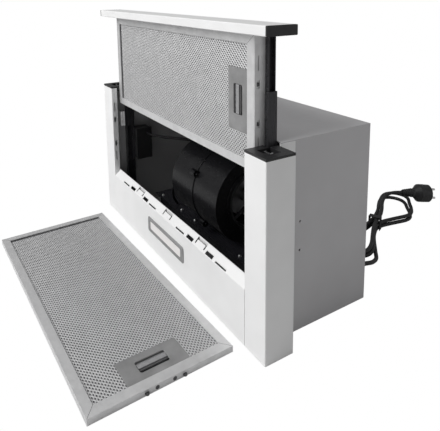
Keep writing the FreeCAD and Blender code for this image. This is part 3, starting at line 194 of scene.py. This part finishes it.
def sheet_metal(
    name, shade, rough, metallic=1.0, grain=(2, 0.06, 2), strength=0.12, tint=(0, 0, 0.004),
):
    """Rolled or brushed metal: fine lines along one way and small changes of gloss."""
    m = Shader(name)
    lines = m.noise(1, 4, m.stretched(tuple(1000.0 / g / 10 for g in grain)))
    spots = m.noise(14, 3)
    low, high = grey(shade * 0.93, tint), grey(min(1.0, shade * 1.05), tint)
    m.link(m.ramp(spots, [(0.3, low), (0.72, high)]), m.bsdf.inputs["Base Color"])
    m.gloss(lines, rough - 0.07, rough + 0.07)
    m.link(m.bump(lines, strength, 0.03, m.soft_edges(0.35)), m.bsdf.inputs["Normal"])
    m.set(Metallic=metallic)
    return m.material


def moulded(name, shade, rough, grain=0.5, strength=0.08, coat=0.0, tint=(0, 0, 0.001), gloss=0.5):
    """Moulded plastic with a fine eroded grain."""
    m = Shader(name)
    spots = m.noise(25, 3)
    low, high = grey(shade * 0.85, tint), grey(shade * 1.15, tint)
    m.link(m.ramp(spots, [(0.3, low), (0.7, high)]), m.bsdf.inputs["Base Color"])
    fine = m.noise(grain, 3)
    m.link(m.bump(fine, strength, 0.04, m.soft_edges(0.6)), m.bsdf.inputs["Normal"])
    m.gloss(m.noise(6, 4), rough - 0.04, rough + 0.06)
    m.set(Coat_Weight=coat, Coat_Roughness=0.12, Specular_IOR_Level=gloss)
    return m.material


BOX_HALF, BOX_BACK, BOX_TOP = 0.268, 0.225, 0.292
SKIN = 0.0006


def box_paint():
    """The motor box: pale grey outside, and a darker grey inside that is painted shade on the same metal,
    told apart by the place on the wall.
    """
    m = Shader("box_paint")
    parts = m.node("ShaderNodeSeparateXYZ")
    m.link(m.place(), parts.inputs[0])
    wide = m.math("ABSOLUTE", parts.outputs["X"])
    inside = m.math("LESS_THAN", wide, BOX_HALF - SKIN)
    for axis, test, limit in (
        ("Y", "LESS_THAN", BOX_BACK - SKIN), ("Z", "GREATER_THAN", SKIN), ("Z", "LESS_THAN", BOX_TOP - SKIN),
    ):
        inside = m.math("MULTIPLY", inside, m.math(test, parts.outputs[axis], limit))
    clouds = m.noise(90, 2)
    outer = m.ramp(clouds, [(0.3, (0.50, 0.495, 0.505)), (0.7, (0.54, 0.535, 0.545))])
    # The darker grey inside is painted shade: inside and outside are the same metal.
    m.two_tone(inside, outer, (0.34, 0.34, 0.345))
    fine = m.noise(1.0, 2)
    m.link(m.bump(fine, 0.05, 0.05, m.soft_edges(0.8)), m.bsdf.inputs["Normal"])
    m.gloss(m.noise(12, 3), 0.36, 0.46)
    return m.material


def latch_plastic(name, edge):
    """The latch: a grey finger bar, with its bolts painted near-black beyond the edge where they stick out,
    as painted shade in the gap there.
    """
    m = Shader(name)
    parts = m.node("ShaderNodeSeparateXYZ")
    m.link(m.place(), parts.inputs[0])
    outside = m.math("GREATER_THAN", parts.outputs["X"], edge * MM)
    spots = m.noise(6, 3)
    bar = m.ramp(spots, [(0.3, (0.24, 0.24, 0.245)), (0.7, (0.29, 0.29, 0.295))])
    # Past the edge the latch is painted near-black: painted shade in the gap beside the frame.
    m.two_tone(outside, bar, (0.06, 0.06, 0.062))
    fine = m.noise(0.8, 3)
    m.link(m.bump(fine, 0.08, 0.04, m.soft_edges(0.5)), m.bsdf.inputs["Normal"])
    m.gloss(m.noise(5, 3), 0.34, 0.44)
    return m.material


LENS_RIB = 0.0032


def lens_plastic():
    """Ribbed off-white diffuser, with painted shade in the grooves and painted light on the crests."""
    m = Shader("lens_plastic")
    parts = m.node("ShaderNodeSeparateXYZ")
    m.link(m.place(), parts.inputs[0])
    wave = m.math("SINE", m.math("MULTIPLY", parts.outputs["X"], 2 * math.pi / LENS_RIB))
    m.link(m.bump(wave, 0.5, 0.4), m.bsdf.inputs["Normal"])
    # The grooves get a darker colour and the crests a lighter one: painted shade and painted light on the
    # ribs.
    groove_shade, proud = (0.80, 0.77, 0.76), (0.93, 0.91, 0.90)
    rib_shading = m.ramp(m.math("MULTIPLY_ADD", wave, 0.5), [(0.0, groove_shade), (1.0, proud)])
    m.link(rib_shading, m.bsdf.inputs["Base Color"])
    m.set(Roughness=0.3)
    return m.material


LOOKS = {
    "white_metal": paint("white_paint", 0.80, 0.38),
    "grey_metal": box_paint(),
    "zinc_steel": sheet_metal("zinc_steel", 0.42, 0.35),
    "black_steel": sheet_metal("black_steel", 0.03, 0.32, metallic=0.3),
    "black_plastic": moulded("black_plastic", 0.014, 0.42),
    "white_plastic": moulded("white_plastic", 0.8, 0.45),
    "grey_plastic": moulded("grey_plastic", 0.225, 0.5),
    "light_plastic": moulded("light_plastic", 0.5, 0.42),
    "filter_metal": sheet_metal("filter_metal", 0.70, 0.42, metallic=0.6),
    "mesh_metal": sheet_metal("mesh_metal", 0.56, 0.46, metallic=0.35),
    "lens_plastic": lens_plastic(),
    "lamp_glass": moulded("lamp_glass", 0.8, 0.2),
    "motor_steel": sheet_metal("motor_steel", 0.3, 0.4),
    "wheel_plastic": moulded("wheel_plastic", 0.02, 0.4),
    "cord_rubber": moulded("cord_rubber", 0.012, 0.5, grain=0.8),
    "pin_metal": sheet_metal("pin_metal", 0.7, 0.25, tint=(0.02, 0.01, 0)),
}
blower_black = moulded("blower_black", 0.006, 0.3, grain=1.2, strength=0.04, coat=0.05, gloss=0.22)
wire_black = moulded("wire_black", 0.006, 0.6, grain=0.6, gloss=0.12)
dark_floor = sheet_metal("dark_floor", 0.02, 0.28, metallic=0.2)
# The filters' inner mesh layers are coloured dark grey: painted shade behind the perforated front layer.
shaded_core_mesh = sheet_metal("shaded_core_mesh", 0.16, 0.6, metallic=0.3)
drawer_grey = sheet_metal("drawer_grey", 0.68, 0.42, metallic=0.25)
metal_shade = sheet_metal("metal_shade", 0.10, 0.5, metallic=0.5)
rim_grey = moulded("rim_grey", 0.25, 0.5)
rail_black = sheet_metal("rail_black", 0.05, 0.3, metallic=0.5)

# Where along X, in mm, each latch turns near-black: painted shade in the gap beyond the frame's edge.
DRAWER_SHADE_EDGE, LOOSE_SHADE_EDGE = 240.5, 246.5
SPECIAL = {
    "scroll_left": blower_black, "scroll_right": blower_black, "blower_plate": dark_floor,
    "mesh_core_drawer": shaded_core_mesh, "mesh_core_loose": shaded_core_mesh, "drawer_frame": drawer_grey,
    "slide_outer_left": LOOKS["black_steel"], "slide_outer_right": LOOKS["black_steel"],
    "slide_inner_left": rail_black, "slide_inner_right": rail_black,
    "slide_middle_left": rail_black, "slide_middle_right": rail_black,
    "wiring": wire_black,
    "latch_drawer": latch_plastic("latch_drawer", DRAWER_SHADE_EDGE),
    "latch_loose": latch_plastic("latch_loose", LOOSE_SHADE_EDGE),
}


def dress():
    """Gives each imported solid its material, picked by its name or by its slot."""
    slots = {s["node"]: s["material_slot"] for s in frame["record"]["subparts"]}
    for name, obj in nodes.items():
        look = SPECIAL.get(name) or LOOKS[slots[name]]
        obj.data.materials.clear()
        obj.data.materials.append(look)


dress()


# ---------------------------------------------------------------- made pieces
def piece(name, points, faces, look, body, place=None, smooth=False):
    """A piece from points in millimetres, riding on a body."""
    data = bpy.data.meshes.new(name)
    place = place or Matrix()
    data.from_pydata([tuple(place @ Vector(p) * MM) for p in points], [], faces)
    data.validate()
    data.update()
    if smooth:
        data.shade_smooth()
    obj = bpy.data.objects.new(name, data)
    scene.collection.objects.link(obj)
    data.materials.append(look)
    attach(obj, body)
    return obj


LOOSE_PLACE = Matrix.Translation((7, -131.7, 0)) @ Matrix.Rotation(math.radians(1.9), 4, "Z")
DRAWER_PLACE = Matrix.Translation((0, 27, 345)) @ Matrix.Rotation(math.radians(90), 4, "X")
FILTER_LENGTH = 499.0
DRAWER_FILTER, LOOSE_FILTER = 187.0, 207.0
BORDER, END_BORDER = 13.0, 16.0
MESH_TOP, MESH_DIP = 6.98, 0.4
MESH_INSET, MESH_SLIT = 6.5, 2.6
HOLE_PITCH, HOLE_ROW = 6.6, 3.0
HOLE_LONG, HOLE_FLAT, HOLE_TALL = 2.15, 0.9, 0.98
PLATE_X, PLATE_HALF, PLATE_LAP = (186.3, 233.3), 45.0, 4.0

# Each loop: half length, half width, corner radius and height over the filter's back, all in mm.
# The recess keeps small corners where the latch's pad slides past, and rounds them above it.
RECESS_LOOPS = (
    (11.0, 22.0, 3.4, 8.0), (10.7, 21.7, 3.0, 7.62), (10.5, 21.5, 0.9, 7.45),
    (10.5, 21.5, 0.9, 5.9), (11.1, 22.1, 1.0, 5.9), (11.1, 22.1, 1.0, 7.0),
)
WELL_LOOPS = ((11.5, 22.5, 1.0, 1.75), (11.5, 22.5, 1.0, 2.25))
PLATE_UNDER, PLATE_TOP, PLATE_EDGE, PLATE_CORNER = 7.0, 8.0, 0.2, 1.0

# The same for the lamp's border, with heights out from the panel: outside, front face, then inside.
LAMP_MIDDLE = 48.5
RIM_LOOPS = (
    (72.5, 15.0, 5.0, -1.0), (72.5, 15.0, 5.0, 0.9), (71.8, 14.3, 4.6, 1.4), (70.9, 13.4, 4.0, 1.5),
    (62.4, 8.4, 3.0, 1.5), (61.7, 7.8, 2.6, 1.35), (61.6, 7.7, 2.6, 1.12), (63.4, 9.9, 3.0, 1.12),
    (63.4, 9.9, 3.0, -1.0),
)

# The end face's rivets: spacing, height, and the rings of the domed head (radius, how far proud).
RIVET_OFFSET, RIVET_HEIGHT, RIVET_SUNK = 12.5, 4.5, 0.1
RIVET_RINGS = ((2.9, 0.0), (2.7, 0.45), (1.8, 0.85), (0.7, 1.05))
RIVET_SIDES = 14
SEAM_HALF, SEAM_LOW, SEAM_HIGH, SEAM_END = 0.22, 8.9, 9.03, 0.2

PLUG_BACK = Vector((77.7, 565.0, 29.95))
PLUG_WAY = Vector((0.327, 0.935, -0.139))
BOOT_LENGTH = 30
BOOT_RIBS, BODY_RIBS = 5, 4
RIB_AROUND, RIB_SECTION = 40, 8


def rounded_loop(half_x, half_y, corner, z, steps=6):
    """Points once round a rectangle with rounded corners."""
    points = []
    for k, (sx, sy) in enumerate(((1, 1), (-1, 1), (-1, -1), (1, -1))):
        for i in range(steps + 1):
            angle = math.pi / 2 * (k + i / steps)
            points.append((
                sx * (half_x - corner) + corner * math.cos(angle),
                sy * (half_y - corner) + corner * math.sin(angle), z,
            ))
    return points


def lofted(name, loops, look, body, place, shut=True):
    """A ring through its loops in turn, or a plate with both ends filled."""
    rings = [rounded_loop(*loop) for loop in loops]
    count = len(rings[0])
    points = [p for ring in rings for p in ring]
    faces = []
    for r in range(len(rings) if shut else len(rings) - 1):
        a, b = r * count, (r + 1) % len(rings) * count
        faces += [(a + i, a + (i + 1) % count, b + (i + 1) % count, b + i) for i in range(count)]
    if not shut:
        last = (len(rings) - 1) * count
        faces += [tuple(reversed(range(count))), tuple(last + i for i in range(count))]
    return piece(name, points, faces, look, body, place)


def handle(name, place, node, body):
    """The plate over the latch, with its rounded finger recess and the dark well below it."""
    seat = place @ Matrix.Translation(((PLATE_X[0] + PLATE_X[1]) / 2, 0, 0))
    half_x, half_y = (PLATE_X[1] - PLATE_X[0]) / 2, PLATE_HALF
    outside = (
        (half_x, half_y, PLATE_CORNER, PLATE_UNDER),
        (half_x, half_y, PLATE_CORNER, PLATE_TOP - PLATE_EDGE),
        (half_x - PLATE_EDGE, half_y - PLATE_EDGE, PLATE_CORNER - PLATE_EDGE / 2, PLATE_TOP),
    )
    plate = lofted(
        name + "_plate", outside + RECESS_LOOPS, LOOKS["grey_plastic"], body, seat,
    )
    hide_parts(node)
    lofted(
        name + "_well", WELL_LOOPS,
        LOOKS["black_plastic"], body, seat, shut=False,
    )


def lamp_rim():
    """The lamp's frame: a broad border with rounded corners that overlaps the lens."""
    place = Matrix.Translation((0, 0, LAMP_MIDDLE)) @ Matrix.Rotation(math.radians(90), 4, "X")
    rim = lofted("lamp_rim", RIM_LOOPS, rim_grey, "housing", place)
    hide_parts("lamp_frame")


def plug_ribs():
    """Grip rings round the plug's boot and body."""
    way = PLUG_WAY.normalized()
    turn = way.to_track_quat("Z", "Y").to_matrix().to_4x4()
    place = Matrix.Translation(PLUG_BACK + BOOT_LENGTH * way) @ turn
    points, faces = [], []
    around, section = RIB_AROUND, RIB_SECTION
    boot_first, boot_pitch, boot_radius, boot_taper, boot_thick = -26, 5, 6.1, 0.76, 1.1
    body_first, body_pitch, body_radius, body_thick = 15, 3.6, 19.3, 1.0
    rings = [
        (boot_first + boot_pitch * i, boot_radius + boot_taper * i, boot_thick) for i in range(BOOT_RIBS)
    ]
    rings += [(body_first + body_pitch * i, body_radius, body_thick) for i in range(BODY_RIBS)]
    for along, radius, thick in rings:
        first = len(points)
        for i in range(around):
            a = 2 * math.pi * i / around
            for j in range(section):
                b = 2 * math.pi * j / section
                r = radius + thick * math.cos(b)
                points.append((r * math.cos(a), r * math.sin(a), along + thick * math.sin(b)))
        for i in range(around):
            for j in range(section):
                c, d = (i + 1) % around, (j + 1) % section
                faces.append((first + i * section + j, first + c * section + j,
                              first + c * section + d, first + i * section + d))
    return piece(
        "plug_ribs", points, faces, LOOKS["black_plastic"], "housing", place, smooth=True,
    )


def perforated(name, height, place, node, body):
    """A filter's front layer: rows of staggered long holes, whose rims dip between raised strands."""
    px, py = HOLE_PITCH, HOLE_ROW
    near = (px * px / 4 + py * py) / px
    tip = (px * px / 4 - py * py) / px
    outer = [(near, 0), (tip, py), (-tip, py), (-near, 0), (-tip, -py), (tip, -py)]
    hole = [
        (HOLE_LONG, 0), (HOLE_FLAT, HOLE_TALL), (-HOLE_FLAT, HOLE_TALL),
        (-HOLE_LONG, 0), (-HOLE_FLAT, -HOLE_TALL), (HOLE_FLAT, -HOLE_TALL),
    ]
    half_x, half_y = FILTER_LENGTH / 2 - MESH_INSET, height / 2 - MESH_INSET
    first_x = MESH_SLIT + BORDER + near - FILTER_LENGTH / 2
    columns, rows = int(half_x / px), int(half_y / py)
    index, points, faces = {}, [], []

    def spot(x, y, z):
        key = (round(x, 2), round(y, 2), z)
        if key not in index:
            index[key] = len(points)
            points.append((x, y, z))
        return index[key]

    def left_out(x, y):
        under_plate = PLATE_X[0] + PLATE_LAP < x < PLATE_X[1] - PLATE_LAP and abs(y) < PLATE_HALF - PLATE_LAP
        return abs(x) > half_x or x < first_x or under_plate

    for row in range(-rows, rows + 1):
        for column in range(-columns, columns + 1):
            x, y = (column + 0.5 * (row % 2)) * px, row * py
            if left_out(x, y):
                continue
            rim = [spot(x + a, y + b, MESH_TOP) for a, b in outer]
            lip = [spot(x + a, y + b, MESH_TOP - MESH_DIP) for a, b in hole]
            faces += [(rim[i], rim[(i + 1) % 6], lip[(i + 1) % 6], lip[i]) for i in range(6)]
    made = piece(name, points, faces, LOOKS["mesh_metal"], body, place)
    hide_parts(node)


def filter_marks(name, height, place, body):
    """The mitred corners' joints, and the heads of the two rivets in the end face."""
    points, faces = [], []

    def bar(start, end, half_width, low, high):
        start, end = Vector((*start, 0)), Vector((*end, 0))
        side = (end - start).cross(Vector((0, 0, 1))).normalized() * half_width
        first = len(points)
        corners = (start - side, end - side, end + side, start + side)
        for z in (low, high):
            points.extend(corner + Vector((0, 0, z)) for corner in corners)
        quads = ((0, 1, 2, 3), (7, 6, 5, 4), (0, 4, 5, 1), (1, 5, 6, 2), (2, 6, 7, 3), (3, 7, 4, 0))
        faces.extend(tuple(first + i for i in quad) for quad in quads)

    half_x, half_y = FILTER_LENGTH / 2, height / 2
    for sx, border in ((-1, BORDER), (1, END_BORDER)):
        for sy in (-1, 1):
            inner = (sx * (half_x - border), sy * (half_y - BORDER))
            outer = (sx * (half_x - SEAM_END), sy * (half_y - SEAM_END))
            bar(inner, outer, SEAM_HALF, SEAM_LOW, SEAM_HIGH)
    piece(name + "_seams", points, faces, metal_shade, body, place)
    points, faces = [], []
    sides, rings = RIVET_SIDES, RIVET_RINGS
    for sy in (-1, 1):
        first = len(points)
        for radius, proud in rings:
            for i in range(sides):
                angle = 2 * math.pi * i / sides
                points.append((
                    half_x - RIVET_SUNK + proud, sy * RIVET_OFFSET + radius * math.cos(angle),
                    RIVET_HEIGHT + radius * math.sin(angle),
                ))
        for ring in range(len(rings) - 1):
            a, b = first + ring * sides, first + (ring + 1) * sides
            faces.extend((a + i, a + (i + 1) % sides, b + (i + 1) % sides, b + i) for i in range(sides))
        faces.append(tuple(first + (len(rings) - 1) * sides + i for i in range(sides)))
        faces.append(tuple(first + i for i in reversed(range(sides))))
    piece(name + "_rivets", points, faces, metal_shade, body, place, smooth=True)


handle("drawer_handle", DRAWER_PLACE, "handle_drawer", "drawer")
handle("loose_handle", LOOSE_PLACE, "handle_loose", "loose_filter")
lamp_rim()
ribs = plug_ribs()
filter_marks("drawer_filter", DRAWER_FILTER, DRAWER_PLACE, "drawer")
filter_marks("loose_filter", LOOSE_FILTER, LOOSE_PLACE, "loose_filter")
perforated("front_mesh_drawer", DRAWER_FILTER, DRAWER_PLACE, "mesh_front_drawer", "drawer")
perforated("front_mesh_loose", LOOSE_FILTER, LOOSE_PLACE, "mesh_front_loose", "loose_filter")


# ---------------------------------------------------------------- cord
CORD_RADIUS = 3.75
FLOOR_GAP = 0.4
HANK_MIDDLE = (121.0, 424.0)
HANK_TURNED = 112.5
HANK_START, HANK_END = math.pi + 0.9, math.pi * 5.5
HANK_FAR, HANK_NEAR = (162.0, 26.0), (140.0, 31.0)
HANK_BELLY, HANK_SETTLE = 38.0, 3.0
HANK_NECK = CORD_RADIUS + 1.05
HANK_RISE = 2 * CORD_RADIUS + 1.1
HANK_SPREAD, HANK_FAN = 0.06, 2.1
# The largest values of sin x cos^2 x and of sin^9 x cos^2 x, which make the widths true ones.
WIDTH_PEAK, BELLY_PEAK = 0.385, 0.0737
POINTS_PER_TURN = 28
GLAND_MOUTH = (224.0, 255.0, 22.0)


def hank_point(angle):
    """The hank's centre line, as the solids have it: loops drawn together at the tie."""
    turns = (angle - HANK_START) / (2 * math.pi)
    c, across = math.cos(angle), math.sin(angle)
    reach, width = HANK_FAR if c > 0 else HANK_NEAR
    u = reach * (1 + HANK_SPREAD * turns) * c
    v = across * (HANK_NECK + width * c * c / WIDTH_PEAK)
    settle = 0.0
    if c > 0:
        settle = HANK_SETTLE * c * c
        if across < 0:
            v += HANK_BELLY * across**9 * c * c / BELLY_PEAK
    lean = math.radians(HANK_TURNED - HANK_FAN * (turns - 1) * c * c - (c * c if c < 0 else 0))
    x = HANK_MIDDLE[0] + u * math.cos(lean) - v * math.sin(lean)
    y = HANK_MIDDLE[1] + u * math.sin(lean) + v * math.cos(lean)
    return Vector((x, y, CORD_RADIUS + FLOOR_GAP + HANK_RISE * turns - settle))


def hank_way(angle):
    return (hank_point(angle + 1e-4) - hank_point(angle - 1e-4)).normalized()


def make_cord():
    """The whole lead as one smooth line: gland, hank, plug."""
    start, end = hank_point(HANK_START), hank_point(HANK_END)
    points = [
        GLAND_MOUTH, (224, 275, 21), (222.5, 293.5, 15.5), (215, 311, 8.5), (207, 328.5, 4.8),
        start - 16 * hank_way(HANK_START),
    ]
    count = round(POINTS_PER_TURN * (HANK_END - HANK_START) / (2 * math.pi))
    points += [hank_point(HANK_START + (HANK_END - HANK_START) * i / count) for i in range(count + 1)]
    points += [
        end + 22 * hank_way(HANK_END), (102.5, 467.7, 24.8), (85.1, 488.4, 28.2), (72.4, 512.6, 31.6),
        PLUG_BACK - 26 * PLUG_WAY, PLUG_BACK + 3 * PLUG_WAY,
    ]
    data = bpy.data.curves.new("mains_lead", "CURVE")
    data.dimensions = "3D"
    data.bevel_depth = CORD_RADIUS * MM
    data.bevel_resolution = 5
    data.resolution_u = 5
    data.use_fill_caps = True
    spline = data.splines.new("NURBS")
    spline.points.add(len(points) - 1)
    for point, spot in zip(spline.points, points):
        point.co = (*(Vector(spot) * MM), 1)
    spline.order_u = 3
    spline.use_endpoint_u = True
    cord = bpy.data.objects.new("mains_lead", data)
    scene.collection.objects.link(cord)
    data.materials.append(LOOKS["cord_rubber"])
    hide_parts("power_cord", "cord_hank", "plug_lead")
    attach(cord, "housing")


make_cord()


# ---------------------------------------------------------------- stage
def make_stage():
    """Pale floor and plain soft light."""
    bpy.ops.mesh.primitive_plane_add(size=60, location=(0, 0, -0.0002))
    floor = bpy.context.object
    floor.name = "floor"
    m = Shader("floor_pale")
    m.set(Base_Color=(0.62, 0.62, 0.62, 1), Roughness=0.9)
    glow = m.node("ShaderNodeEmission")
    glow.inputs["Color"].default_value = (1, 1, 1, 1)
    glow.inputs["Strength"].default_value = 1.0
    ray = m.node("ShaderNodeLightPath")
    mix = m.node("ShaderNodeMixShader")
    m.link(ray.outputs["Is Camera Ray"], mix.inputs[0])
    m.link(m.bsdf.outputs[0], mix.inputs[1])
    m.link(glow.outputs[0], mix.inputs[2])
    m.link(mix.outputs[0], m.tree.nodes["Material Output"].inputs["Surface"])
    floor.data.materials.append(m.material)
    world = bpy.data.worlds.new("world")
    scene.world = world
    world.use_nodes = True
    tree = world.node_tree
    base = tree.nodes["Background"]
    base.inputs["Color"].default_value = (1, 1, 1, 1)
    base.inputs["Strength"].default_value = 0.26
    white = tree.nodes.new("ShaderNodeBackground")
    white.inputs["Strength"].default_value = 1.0
    ray = tree.nodes.new("ShaderNodeLightPath")
    mix = tree.nodes.new("ShaderNodeMixShader")
    tree.links.new(ray.outputs["Is Camera Ray"], mix.inputs[0])
    tree.links.new(base.outputs[0], mix.inputs[1])
    tree.links.new(white.outputs[0], mix.inputs[2])
    tree.links.new(mix.outputs[0], tree.nodes["World Output"].inputs["Surface"])
    for name, spot, aim, size, power in (
        ("key", (-0.6, -2.35, 2.0), (0, 0, 0.2), (2.4, 1.8), 88),
        ("top", (0.0, 0.2, 2.6), (0, 0.1, 0), (2.2, 2.2), 11),
        ("rim", (2.2, 1.2, 0.9), (0.2, 0.1, 0.1), (1.2, 1.4), 3),
    ):
        data = bpy.data.lights.new(name, "AREA")
        data.shape = "RECTANGLE"
        data.size, data.size_y = size
        data.energy = power
        lamp = bpy.data.objects.new(name, data)
        scene.collection.objects.link(lamp)
        lamp.location = spot
        lamp.rotation_euler = (Vector(aim) - Vector(spot)).to_track_quat("-Z", "Y").to_euler()
    scene.view_settings.view_transform = "Standard"


make_stage()
